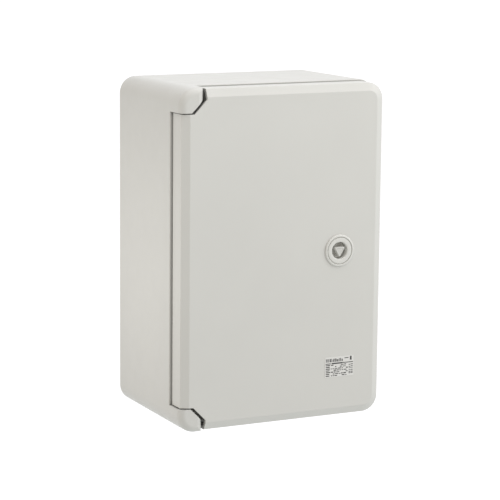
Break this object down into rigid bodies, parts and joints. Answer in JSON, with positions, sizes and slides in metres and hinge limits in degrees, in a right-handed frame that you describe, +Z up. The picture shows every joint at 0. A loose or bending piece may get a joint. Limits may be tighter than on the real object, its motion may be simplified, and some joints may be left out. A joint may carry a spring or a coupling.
{
  "type": "dc combiner box",
  "caption": "Wall-mounted moulded plastic dc combiner box with a hinged, key-locked door over rail-mounted fuse holders, breaker, surge protector and terminals.",
  "frame": {"origin": "middle of the wall-fixing hole pattern, on the flat back of the case", "axes": "+Z up, -Y out of the door towards the user, +X to the right as the user faces the door"},
  "size_m": [0.2, 0.137, 0.3195],
  "materials": {
    "case_plastic": "satin moulded light grey",
    "door_plastic": "satin moulded light grey",
    "gasket_foam": "foamed polyurethane strip",
    "lock_plastic": "satin moulded light grey",
    "rotor_plastic": "satin moulded grey",
    "zinc_steel": "zinc plated",
    "galvanised_sheet": "galvanised sheet",
    "label_film": "satin printed film",
    "device_plastic": "fine moulded grain",
    "handle_plastic": "fine moulded grain",
    "cartridge_plastic": "fine moulded grain",
    "toggle_plastic": "satin",
    "fuse_ceramic": "glazed ceramic tube with plated caps",
    "copper_bar": "tinned copper",
    "terminal_grey": "fine moulded grain",
    "terminal_red": "fine moulded grain",
    "terminal_green": "fine moulded grain",
    "clip_plastic": "satin",
    "gland_plastic": "satin polyamide",
    "gland_rubber": "moulded rubber",
    "wire_black": "extruded sheath",
    "wire_red": "extruded sheath",
    "wire_green": "extruded sheath"
  },
  "bodies": {
    "case": {"case_shell": "case_plastic", "hinge_pins": "zinc_steel", "mounting_plate": "galvanised_sheet", "plate_screws": "zinc_steel", "din_rail_upper": "zinc_steel", "din_rail_lower": "zinc_steel", "rail_screws": "zinc_steel", "fuse_contacts": "copper_bar", "fuse_terminal_screws": "zinc_steel", "busbar_negative": "copper_bar", "busbar_positive": "copper_bar", "breaker_housing": "device_plastic", "breaker_terminal_screws": "zinc_steel", "surge_base": "device_plastic", "surge_terminal_screws": "zinc_steel", "terminal_negative": "terminal_grey", "terminal_earth": "terminal_green", "terminal_positive": "terminal_red", "terminal_screws": "zinc_steel", "end_stops": "clip_plastic", "rail_clips": "clip_plastic", "gland_bodies": "gland_plastic", "gland_locknuts": "gland_plastic", "gland_cap_nuts": "gland_plastic", "gland_seals": "gland_rubber", "gland_washers": "gland_rubber", "lead_negative_feed": "wire_black", "lead_positive_feed": "wire_red", "lead_negative_out": "wire_black", "lead_positive_out": "wire_red", "lead_surge_negative": "wire_black", "lead_surge_earth": "wire_green", "lead_surge_positive": "wire_red", "fuse_base_1": "device_plastic", "fuse_base_2": "device_plastic", "fuse_base_3": "device_plastic", "fuse_base_4": "device_plastic"},
    "door": {"door_panel": "door_plastic", "door_gasket": "gasket_foam", "lock_housing": "lock_plastic", "lock_nut": "rotor_plastic", "rating_label": "label_film"},
    "lock": {"lock_rotor": "rotor_plastic", "lock_cam": "zinc_steel", "lock_cam_screw": "zinc_steel"},
    "toggle": {"breaker_toggle": "toggle_plastic"},
    "carrier_1": {"fuse_carrier_1": "handle_plastic", "fuse_link_1": "fuse_ceramic"},
    "carrier_2": {"fuse_carrier_2": "handle_plastic", "fuse_link_2": "fuse_ceramic"},
    "carrier_3": {"fuse_carrier_3": "handle_plastic", "fuse_link_3": "fuse_ceramic"},
    "carrier_4": {"fuse_carrier_4": "handle_plastic", "fuse_link_4": "fuse_ceramic"},
    "cartridge_1": {"surge_cartridge_1": "cartridge_plastic"},
    "cartridge_2": {"surge_cartridge_2": "cartridge_plastic"},
    "cartridge_3": {"surge_cartridge_3": "cartridge_plastic"}
  },
  "joints": [
    {"name": "door_hinge", "type": "hinge", "parent": "case", "child": "door", "pos_m": [-0.0945, -0.1265, 0], "axis": [0, 0, -1], "range_deg": [0, 180]},
    {"name": "lock_turn", "type": "hinge", "parent": "door", "child": "lock", "pos_m": [0.0548, -0.1265, 0.0012], "axis": [0, -1, 0], "range_deg": [0, 90]},
    {"name": "carrier_swing_1", "type": "hinge", "parent": "case", "child": "carrier_1", "pos_m": [-0.053, -0.069, 0.064], "axis": [1, 0, 0], "range_deg": [0, 85]},
    {"name": "carrier_swing_2", "type": "hinge", "parent": "case", "child": "carrier_2", "pos_m": [-0.035, -0.069, 0.064], "axis": [1, 0, 0], "range_deg": [0, 85]},
    {"name": "carrier_swing_3", "type": "hinge", "parent": "case", "child": "carrier_3", "pos_m": [-0.017, -0.069, 0.064], "axis": [1, 0, 0], "range_deg": [0, 85]},
    {"name": "carrier_swing_4", "type": "hinge", "parent": "case", "child": "carrier_4", "pos_m": [0.001, -0.069, 0.064], "axis": [1, 0, 0], "range_deg": [0, 85]},
    {"name": "toggle_throw", "type": "hinge", "parent": "case", "child": "toggle", "pos_m": [0.034, -0.0615, 0.078], "axis": [-1, 0, 0], "range_deg": [0, 80]},
    {"name": "cartridge_pull_1", "type": "slide", "parent": "case", "child": "cartridge_1", "axis": [0, -1, 0], "range_m": [0, 0.036]},
    {"name": "cartridge_pull_2", "type": "slide", "parent": "case", "child": "cartridge_2", "axis": [0, -1, 0], "range_m": [0, 0.036]},
    {"name": "cartridge_pull_3", "type": "slide", "parent": "case", "child": "cartridge_3", "axis": [0, -1, 0], "range_m": [0, 0.036]}
  ]
}
